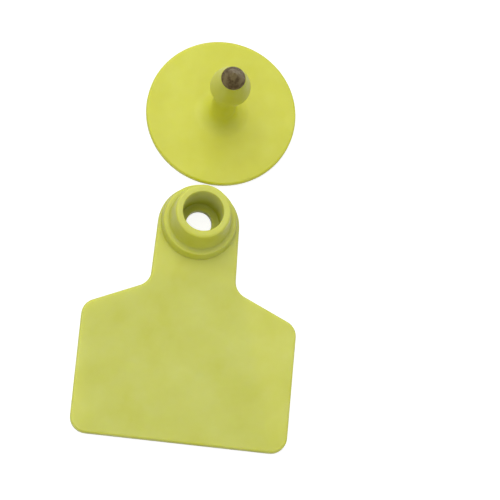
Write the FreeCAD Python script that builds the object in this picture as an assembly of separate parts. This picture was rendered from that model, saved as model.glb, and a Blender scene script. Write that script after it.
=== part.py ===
"""Two-piece livestock ear tag: a female flag tag, and the male button that locks into it.

Both pieces are moulded TPU and lie unassembled on their flat undersides (z = 0), the button
just beyond the tag's neck end. The origin is on the axis of the tag's lock hole, +Y runs
along the tag from its panel to its neck end, and +Z points up through the collar.
Fitted to an ear, the button's stem comes up through the lock hole and its head snaps into
the collar's cavity, so hole, cavity and collar take their sizes from the stem and the head.
"""

import FreeCAD
import Part
import math
import os

from FreeCAD import Vector

# ---- Male button (mm) ----
disc_diameter = 30.0
disc_thickness = 1.5
disc_edge_round = 0.4
stem_diameter = 4.9
stem_length = 15.2           # from the disc's face to the barb under the head
stem_root_fillet = 3.0
head_diameter = 7.9
head_barb_round = 0.3        # rim of the flat barb that catches under the cavity's ledge
head_barb_height = 1.1
head_flank_round = 4.0       # blends the barb's wall into the tapered flank
head_taper_height = 4.25
head_top_lip = 0.15          # plastic left round the base of the metal tip
head_top_round = 0.12
pin_bore_diameter = 2.4      # takes the applicator's pin, which pushes on the metal tip
pin_bore_lead_in = 0.3

# ---- Metal tip (mm) ----
tip_diameter = 4.7
tip_height = 3.0
tip_point_flat = 0.16
tip_point_round = 0.1
tip_rim_height = 0.2
shank_diameter = 3.2
shank_length = 4.0
shank_groove_count = 2
shank_groove_width = 0.7
shank_groove_depth = 0.3

# ---- Fits (mm) ----
stem_running_clearance = 0.2     # on the diameter, in the lock hole
head_running_clearance = 0.1     # on the diameter, in the cavity
tip_recess = 0.17                # the fitted tip stays this far below the collar's rim

# ---- Female tag: panel and neck (mm, degrees) ----
panel_thickness = 1.5
panel_width = 42.2
panel_bottom_distance = 44.25    # from the lock hole's axis to the bottom edge
shoulder_distance = 18.75        # from the axis to the shoulders' outer corners
shoulder_slope = 24.3
neck_flare = 1.6
neck_end_margin = 0.5            # how far the neck is wider than the flange's foot, each side
neck_end_setback = 0.4           # its round end is centred this far short of the hole's axis
panel_corner_radius = 3.2
neck_fillet_radius = 3.4
panel_top_edge_round = 0.4
panel_bottom_edge_round = 0.25

# ---- Female tag: collar (mm) ----
boss_foot_diameter = 12.2
boss_foot_fillet = 0.5
flange_ledge_width = 1.05        # the flange's flat top, round the boss's foot
flange_edge_round = 0.45
flange_wall_lean = 0.4           # how far the flange's wall spreads from its top to its foot
flange_height = 2.35             # above the panel's face
collar_rim_wall = 1.35           # round the cavity, at the rim
rim_outer_round = 0.5
rim_inner_round = 0.15
ledge_corner_fillet = 0.3
lock_hole_edge_round = 0.15

# ---- Where the button lies ----
button_gap = 0.85                # clear distance from the neck end to the disc's edge
button_bearing = 5.6             # degrees from +Y towards +X

# ---- Sizes that follow ----
disc_radius = disc_diameter / 2
stem_radius = stem_diameter / 2
head_radius = head_diameter / 2
tip_radius = tip_diameter / 2
shank_radius = shank_diameter / 2
boss_foot_radius = boss_foot_diameter / 2
flange_top_radius = boss_foot_radius + flange_ledge_width
flange_foot_radius = flange_top_radius + flange_wall_lean

barb_z = disc_thickness + stem_length
tip_base_z = barb_z + head_barb_height + head_taper_height
shank_end_z = tip_base_z - shank_length

lock_hole_radius = stem_radius + stem_running_clearance / 2
cavity_radius = head_radius + head_running_clearance / 2
fitted_head_length = head_barb_height + head_taper_height + tip_height
collar_height = panel_thickness + fitted_head_length + tip_recess
neck_end_radius = flange_foot_radius + neck_end_margin
neck_end_distance = neck_end_radius - neck_end_setback

button_distance = neck_end_distance + button_gap + disc_radius
button_place = Vector(
    button_distance * math.sin(math.radians(button_bearing)),
    button_distance * math.cos(math.radians(button_bearing)),
    0,
)
CUT_MARGIN = 1.0                 # how far a cutter runs out past the face it opens
SMALLEST_EDGE = 1e-6             # shorter than this, two points are the same


def rounded_wire(corners):
    """Closed wire through (point, rounding) corners, each rounding a tangent arc."""
    count = len(corners)
    spans = []
    for index, (corner, rounding) in enumerate(corners):
        if rounding == 0:
            spans.append((corner, None, corner))
            continue
        back = (corners[index - 1][0] - corner).normalize()
        ahead = (corners[(index + 1) % count][0] - corner).normalize()
        half_angle = back.getAngle(ahead) / 2
        bisector = (back + ahead).normalize()
        start = corner + back * (rounding / math.tan(half_angle))
        end = corner + ahead * (rounding / math.tan(half_angle))
        middle = corner + bisector * (rounding / math.sin(half_angle) - rounding)
        spans.append((start, middle, end))
    edges = []
    for index, (start, middle, end) in enumerate(spans):
        if middle is not None:
            edges.append(Part.Arc(start, middle, end).toShape())
        next_start = spans[(index + 1) % count][0]
        if end.distanceToPoint(next_start) > SMALLEST_EDGE:
            edges.append(Part.LineSegment(end, next_start).toShape())
    return Part.Wire(edges)


def turned(corners):
    """Solid turned about +Z from a closed profile of (radius, z, rounding) corners."""
    wire = rounded_wire([(Vector(radius, 0, z), rounding) for radius, z, rounding in corners])
    return Part.Face(wire).revolve(Vector(0, 0, 0), Vector(0, 0, 1), 360)


def make_metal_tip():
    """Pointed cone on a grooved shank, moulded into the button's head."""
    point_z = tip_base_z + tip_height
    corners = [
        (0, point_z, 0),
        (tip_point_flat / 2, point_z, tip_point_round),
        (tip_radius, tip_base_z + tip_rim_height, 0),
        (tip_radius, tip_base_z, 0),
        (shank_radius, tip_base_z, 0),
    ]
    groove_pitch = shank_length / (shank_groove_count + 1)
    for number in range(1, shank_groove_count + 1):
        groove_z = tip_base_z - number * groove_pitch
        corners += [
            (shank_radius, groove_z + shank_groove_width / 2, 0),
            (shank_radius - shank_groove_depth, groove_z, 0),
            (shank_radius, groove_z - shank_groove_width / 2, 0),
        ]
    corners += [(shank_radius, shank_end_z, 0), (0, shank_end_z, 0)]
    return turned(corners)


def make_male_button(metal_tip):
    """Disc, stem and barbed head in one moulding, closed round the metal tip's shank."""
    top_radius = tip_radius + head_top_lip
    body = turned([
        (0, 0, 0),
        (disc_radius, 0, disc_edge_round),
        (disc_radius, disc_thickness, disc_edge_round),
        (stem_radius, disc_thickness, stem_root_fillet),
        (stem_radius, barb_z, 0),
        (head_radius, barb_z, head_barb_round),
        (head_radius, barb_z + head_barb_height, head_flank_round),
        (top_radius, tip_base_z, head_top_round),
        (0, tip_base_z, 0),
    ])
    bore_radius = pin_bore_diameter / 2
    pin_bore = turned([
        (0, -CUT_MARGIN, 0),
        (bore_radius + pin_bore_lead_in, -CUT_MARGIN, 0),
        (bore_radius + pin_bore_lead_in, 0, 0),
        (bore_radius, pin_bore_lead_in, 0),
        (bore_radius, shank_end_z, 0),
        (0, shank_end_z, 0),
    ])
    return body.cut(pin_bore).cut(metal_tip)


def tag_outline():
    """Closed outline of panel, sloping shoulders, neck and round neck end."""
    half_width = panel_width / 2
    slope = math.tan(math.radians(shoulder_slope))
    flare_cos = math.cos(math.radians(neck_flare))
    flare_sin = math.sin(math.radians(neck_flare))
    # The neck's sides are tangents of the round end, so each meets the line across its top
    # at end_x, and the shoulder's slope at the neck's foot.
    end_x = neck_end_radius * (1 - flare_sin) / flare_cos
    shoulder_drop = shoulder_distance - neck_end_setback - half_width * slope
    foot_x = neck_end_radius + shoulder_drop * flare_sin
    foot_x /= flare_cos - slope * flare_sin
    foot_y = (half_width - foot_x) * slope - shoulder_distance
    right_side = [
        (half_width, -panel_bottom_distance, panel_corner_radius),
        (half_width, -shoulder_distance, panel_corner_radius),
        (foot_x, foot_y, neck_fillet_radius),
        (end_x, neck_end_distance, neck_end_radius),
    ]
    left_side = [(-x, y, rounding) for x, y, rounding in reversed(right_side)]
    return rounded_wire([(Vector(x, y, 0), rounding) for x, y, rounding in right_side + left_side])


def edges_at_height(solid, z):
    """The edges that lie wholly in the level plane at height z."""
    return [
        edge for edge in solid.Edges
        if abs(edge.BoundBox.ZMin - z) < SMALLEST_EDGE and abs(edge.BoundBox.ZMax - z) < SMALLEST_EDGE
    ]


def make_panel():
    """Flat flag of the tag, with its upper and lower rims rounded."""
    panel = Part.Face(tag_outline()).extrude(Vector(0, 0, panel_thickness))
    panel = panel.makeFillet(panel_top_edge_round, edges_at_height(panel, panel_thickness))
    return panel.makeFillet(panel_bottom_edge_round, edges_at_height(panel, 0))


def make_collar():
    """Tapered flange ring and boss, with the foot sunk half-way into the panel."""
    foot_z = panel_thickness / 2
    flange_z = panel_thickness + flange_height
    return turned([
        (0, foot_z, 0),
        (flange_foot_radius, foot_z, 0),
        (flange_foot_radius, panel_thickness, 0),
        (flange_top_radius, flange_z, flange_edge_round),
        (boss_foot_radius, flange_z, boss_foot_fillet),
        (cavity_radius + collar_rim_wall, collar_height, rim_outer_round),
        (0, collar_height, 0),
    ])


def make_lock_bore():
    """Cutter for the head's cavity, its flat ledge, and the lock hole below it."""
    mouth_radius = cavity_radius + rim_inner_round
    return turned([
        (0, collar_height + CUT_MARGIN, 0),
        (mouth_radius, collar_height + CUT_MARGIN, 0),
        (mouth_radius, collar_height, 0),
        (cavity_radius, collar_height, rim_inner_round),
        (cavity_radius, panel_thickness, ledge_corner_fillet),
        (lock_hole_radius, panel_thickness, lock_hole_edge_round),
        (lock_hole_radius, -CUT_MARGIN, 0),
        (0, -CUT_MARGIN, 0),
    ])


def make_female_tag():
    """Panel and collar in one moulding, with the stepped bore through both."""
    return make_panel().fuse(make_collar()).cut(make_lock_bore()).removeSplitter()


def write_step(shape, name):
    """Write a node that is one valid solid to parts/NAME.step."""
    solid = shape.Solids[0]
    assert len(shape.Solids) == 1 and solid.isValid(), name
    solid.exportStep("parts/" + name + ".step")
    box = solid.BoundBox
    print(f"{name}: {solid.Volume:.1f} mm3, {box.XLength:.2f} x {box.YLength:.2f} x {box.ZLength:.2f} mm")


os.makedirs("parts", exist_ok=True)
metal_tip = make_metal_tip()
male_button = make_male_button(metal_tip)
metal_tip.translate(button_place)
male_button.translate(button_place)
write_step(make_female_tag(), "female_tag")
write_step(male_button, "male_button")
write_step(metal_tip, "metal_tip")
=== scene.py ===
"""Looks of the livestock ear tag: yellow-green TPU mouldings and a dark bronze tip on a white floor."""

import math

import bpy
from mathutils import Matrix, Vector

MM = 0.001

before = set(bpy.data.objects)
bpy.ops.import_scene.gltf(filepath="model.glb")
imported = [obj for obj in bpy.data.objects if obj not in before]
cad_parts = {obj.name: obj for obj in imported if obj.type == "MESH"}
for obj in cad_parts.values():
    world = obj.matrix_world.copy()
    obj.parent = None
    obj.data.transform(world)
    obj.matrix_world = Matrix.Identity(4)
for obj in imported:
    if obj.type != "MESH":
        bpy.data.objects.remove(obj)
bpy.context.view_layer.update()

# ---- Camera: the photograph's viewing angle and framing ----
CAMERA_PLACE = Vector((-36.48, -140.95, 478.53)) * MM
CAMERA_TARGET = Vector((10.683, -3.901, 0.0)) * MM
CAMERA_LENS = 182.16
CAMERA_TURN = math.radians(6.98)     # how far the image's level lies round +Z from +X

# ---- Light: a large soft key from beyond the button, over an even ambient (watts, metres) ----
AMBIENT = 0.55
KEY_PLACE = Vector((-170.0, 270.0, 620.0)) * MM
KEY_AIM = Vector((0.0, 0.0, 0.0))
KEY_SIZE = 700.0 * MM
KEY_POWER = 2.7
BACKDROP_GLOW = 0.85                 # the floor's own white, as the camera and reflections see it
FLOOR_ALBEDO = 0.35
FLOOR_SIZE = 4.0

# ---- Materials (linear colours) ----
BUTTON_TINT = (0.63, 0.645, 0.042)
TAG_TINT = (0.60, 0.625, 0.085)
PALER = (1.04, 1.04, 1.5)            # the clouds' two colours, as shares of the tint
DEEPER = (0.96, 0.95, 0.72)
PLASTIC_IOR = 1.5
BLEED_RADIUS = (1.0, 0.9, 0.15)      # how far light travels inside, by colour
BLEED_SCALE = 3.0 * MM
BRONZE = (0.17, 0.13, 0.055)
TARNISH = (0.08, 0.052, 0.018)
TIP_METALLIC = 0.35
TIP_SPECULAR = 0.2

# ---- Surface detail: noise scale (to the metre), detail, roughness ----
CLOUD_NOISE = (110.0, 3.0, 0.55)
STREAK_NOISE = (420.0, 2.0, 0.5)
SKIN_NOISE = (320.0, 2.0, 0.5)
GRAIN_NOISE = (5200.0, 2.0, 0.6)
GLOSS_NOISE = (260.0, 3.0, 0.6)
TARNISH_NOISE = (900.0, 4.0, 0.6)
PITTING_NOISE = (2600.0, 3.0, 0.6)
SKIN_DEPTH = 0.12 * MM
GRAIN_DEPTH = 0.02 * MM
PITTING_DEPTH = 0.03 * MM
TAG_OFFSET = (0.0, 0.0, 0.0)         # sets each moulding's noise apart
BUTTON_OFFSET = (3.0, 1.0, 2.0)


def add_node(tree, kind, settings=None, inputs=None):
    """A new node with its settings, and its sockets' values by name or number."""
    node = tree.nodes.new(kind)
    for key, value in (settings or {}).items():
        setattr(node, key, value)
    for key, value in (inputs or {}).items():
        node.inputs[key].default_value = value
    return node


def new_material(name):
    """An empty node material, its tree and its output node."""
    material = bpy.data.materials.new(name)
    material.use_nodes = True
    tree = material.node_tree
    tree.nodes.clear()
    return material, tree, add_node(tree, "ShaderNodeOutputMaterial")


def seen_directly(tree):
    """1 for camera, glossy and transmission rays, which are shown the plain white backdrop."""
    path = add_node(tree, "ShaderNodeLightPath")
    either = add_node(tree, "ShaderNodeMath", {"operation": "MAXIMUM"})
    any_of = add_node(tree, "ShaderNodeMath", {"operation": "MAXIMUM"})
    tree.links.new(path.outputs["Is Camera Ray"], either.inputs[0])
    tree.links.new(path.outputs["Is Glossy Ray"], either.inputs[1])
    tree.links.new(either.outputs[0], any_of.inputs[0])
    tree.links.new(path.outputs["Is Transmission Ray"], any_of.inputs[1])
    return any_of.outputs[0]


def make_camera():
    """Camera at its place, turned about its line of sight so the image's level is as set."""
    data = bpy.data.cameras.new("camera")
    data.lens = CAMERA_LENS
    data.clip_start = 0.01
    camera = bpy.data.objects.new("camera", data)
    bpy.context.scene.collection.objects.link(camera)
    back = (CAMERA_PLACE - CAMERA_TARGET).normalized()
    level = Vector((math.cos(CAMERA_TURN), math.sin(CAMERA_TURN), 0.0))
    right = (level - level.dot(back) * back).normalized()
    axes = Matrix((right, back.cross(right), back)).transposed()
    camera.matrix_world = Matrix.Translation(CAMERA_PLACE) @ axes.to_4x4()
    bpy.context.scene.camera = camera


def make_world():
    """Even ambient light, white where the camera or a reflection sees it."""
    world = bpy.data.worlds.new("studio")
    bpy.context.scene.world = world
    world.use_nodes = True
    tree = world.node_tree
    tree.nodes.clear()
    output = add_node(tree, "ShaderNodeOutputWorld")
    strength = add_node(tree, "ShaderNodeMapRange", None, {"To Min": AMBIENT, "To Max": 1.0})
    glow = add_node(tree, "ShaderNodeBackground", None, {"Color": (1.0, 1.0, 1.0, 1.0)})
    tree.links.new(seen_directly(tree), strength.inputs["Value"])
    tree.links.new(strength.outputs["Result"], glow.inputs["Strength"])
    tree.links.new(glow.outputs[0], output.inputs["Surface"])


def make_key_light():
    """One large round soft light, high and beyond the button."""
    data = bpy.data.lights.new("key", "AREA")
    data.shape = "DISK"
    data.size = KEY_SIZE
    data.energy = KEY_POWER
    key = bpy.data.objects.new("key", data)
    bpy.context.scene.collection.objects.link(key)
    key.location = KEY_PLACE
    key.rotation_euler = (KEY_PLACE - KEY_AIM).to_track_quat("Z", "Y").to_euler()


def make_floor_material():
    """White floor: a glow for the camera and reflections, under a diffuse part for the shadow."""
    material, tree, output = new_material("floor")
    glow = add_node(tree, "ShaderNodeEmission", None, {"Color": (1.0, 1.0, 1.0, 1.0)})
    strength = add_node(tree, "ShaderNodeMath", {"operation": "MULTIPLY"}, {1: BACKDROP_GLOW})
    albedo = (FLOOR_ALBEDO, FLOOR_ALBEDO, FLOOR_ALBEDO, 1.0)
    diffuse = add_node(tree, "ShaderNodeBsdfDiffuse", None, {"Color": albedo})
    both = add_node(tree, "ShaderNodeAddShader")
    tree.links.new(seen_directly(tree), strength.inputs[0])
    tree.links.new(strength.outputs[0], glow.inputs["Strength"])
    tree.links.new(glow.outputs[0], both.inputs[0])
    tree.links.new(diffuse.outputs[0], both.inputs[1])
    tree.links.new(both.outputs[0], output.inputs["Surface"])
    return material


def make_floor():
    """Plain floor that the pieces lie on."""
    half = FLOOR_SIZE / 2
    mesh = bpy.data.meshes.new("floor")
    corners = [(-half, -half, 0.0), (half, -half, 0.0), (half, half, 0.0), (-half, half, 0.0)]
    mesh.from_pydata(corners, [], [(0, 1, 2, 3)])
    mesh.materials.append(make_floor_material())
    floor = bpy.data.objects.new("floor", mesh)
    bpy.context.scene.collection.objects.link(floor)


def noise(tree, kind, offset=(0.0, 0.0, 0.0)):
    """Factor of one of the noises above, in the object's own frame."""
    scale, detail, roughness = kind
    place = add_node(tree, "ShaderNodeTexCoord")
    move = add_node(tree, "ShaderNodeMapping", None, {"Location": offset})
    texture = add_node(tree, "ShaderNodeTexNoise", None,
                       {"Scale": scale, "Detail": detail, "Roughness": roughness})
    tree.links.new(place.outputs["Object"], move.inputs["Vector"])
    tree.links.new(move.outputs["Vector"], texture.inputs["Vector"])
    return texture.outputs["Fac"]


def map_range(tree, value, low, high, to_low, to_high):
    """The value carried from low..high to to_low..to_high, held at both ends."""
    node = add_node(tree, "ShaderNodeMapRange", {"clamp": True},
                    {"From Min": low, "From Max": high, "To Min": to_low, "To Max": to_high})
    tree.links.new(value, node.inputs["Value"])
    return node.outputs["Result"]


def mixed(tree, factor, first, second):
    """Colour mixed from two colours or colour sockets."""
    node = add_node(tree, "ShaderNodeMix", {"data_type": "RGBA"})
    tree.links.new(factor, node.inputs["Factor"])
    for name, colour in (("A", first), ("B", second)):
        socket = [s for s in node.inputs if s.name == name and s.type == "RGBA"][0]
        if isinstance(colour, bpy.types.NodeSocket):
            tree.links.new(colour, socket)
        else:
            socket.default_value = (*colour, 1.0)
    return [s for s in node.outputs if s.type == "RGBA"][0]


def bumped(tree, height, distance, strength, normal=None):
    """Normal bumped by a height socket."""
    node = add_node(tree, "ShaderNodeBump", None, {"Distance": distance, "Strength": strength})
    tree.links.new(height, node.inputs["Height"])
    if normal:
        tree.links.new(normal, node.inputs["Normal"])
    return node.outputs["Normal"]


def make_plastic(name, tint, offset):
    """Moulded TPU: clouded colour, a satin skin with fine grain, light bleeding a little inside."""
    material, tree, output = new_material(name)
    paler = tuple(channel * share for channel, share in zip(tint, PALER))
    deeper = tuple(channel * share for channel, share in zip(tint, DEEPER))
    clouds = map_range(tree, noise(tree, CLOUD_NOISE, offset), 0.35, 0.65, 0.0, 1.0)
    streaks = map_range(tree, noise(tree, STREAK_NOISE, offset), 0.3, 0.7, 0.0, 0.5)
    clouded = mixed(tree, clouds, deeper, paler)
    colour = mixed(tree, streaks, clouded, tint)
    skin = bumped(tree, noise(tree, SKIN_NOISE, offset), SKIN_DEPTH, 0.25)
    grain = bumped(tree, noise(tree, GRAIN_NOISE, offset), GRAIN_DEPTH, 0.35, skin)
    gloss = map_range(tree, noise(tree, GLOSS_NOISE, offset), 0.3, 0.7, 0.42, 0.56)
    shader = add_node(tree, "ShaderNodeBsdfPrincipled", None, {
        "IOR": PLASTIC_IOR,
        "Subsurface Weight": 1.0,
        "Subsurface Radius": BLEED_RADIUS,
        "Subsurface Scale": BLEED_SCALE,
    })
    tree.links.new(colour, shader.inputs["Base Color"])
    tree.links.new(gloss, shader.inputs["Roughness"])
    tree.links.new(grain, shader.inputs["Normal"])
    tree.links.new(shader.outputs[0], output.inputs["Surface"])
    return material


def make_tip_metal():
    """Bronze, dark and pitted with tarnish, rougher where it is tarnished."""
    material, tree, output = new_material("tip_bronze")
    tarnish = map_range(tree, noise(tree, TARNISH_NOISE), 0.4, 0.62, 0.0, 1.0)
    colour = mixed(tree, tarnish, BRONZE, TARNISH)
    roughness = map_range(tree, tarnish, 0.0, 1.0, 0.32, 0.55)
    pitting = bumped(tree, noise(tree, PITTING_NOISE), PITTING_DEPTH, 0.5)
    shader = add_node(tree, "ShaderNodeBsdfPrincipled", None,
                      {"Metallic": TIP_METALLIC, "Specular IOR Level": TIP_SPECULAR})
    tree.links.new(colour, shader.inputs["Base Color"])
    tree.links.new(roughness, shader.inputs["Roughness"])
    tree.links.new(pitting, shader.inputs["Normal"])
    tree.links.new(shader.outputs[0], output.inputs["Surface"])
    return material


def dress(node, material):
    """Give every material slot of a node the same material."""
    for slot in node.material_slots:
        slot.material = material


make_camera()
make_world()
make_key_light()
make_floor()
dress(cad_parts["female_tag"], make_plastic("tag_tpu", TAG_TINT, TAG_OFFSET))
dress(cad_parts["male_button"], make_plastic("button_tpu", BUTTON_TINT, BUTTON_OFFSET))
dress(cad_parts["metal_tip"], make_tip_metal())

bpy.context.scene.view_settings.view_transform = "Standard"
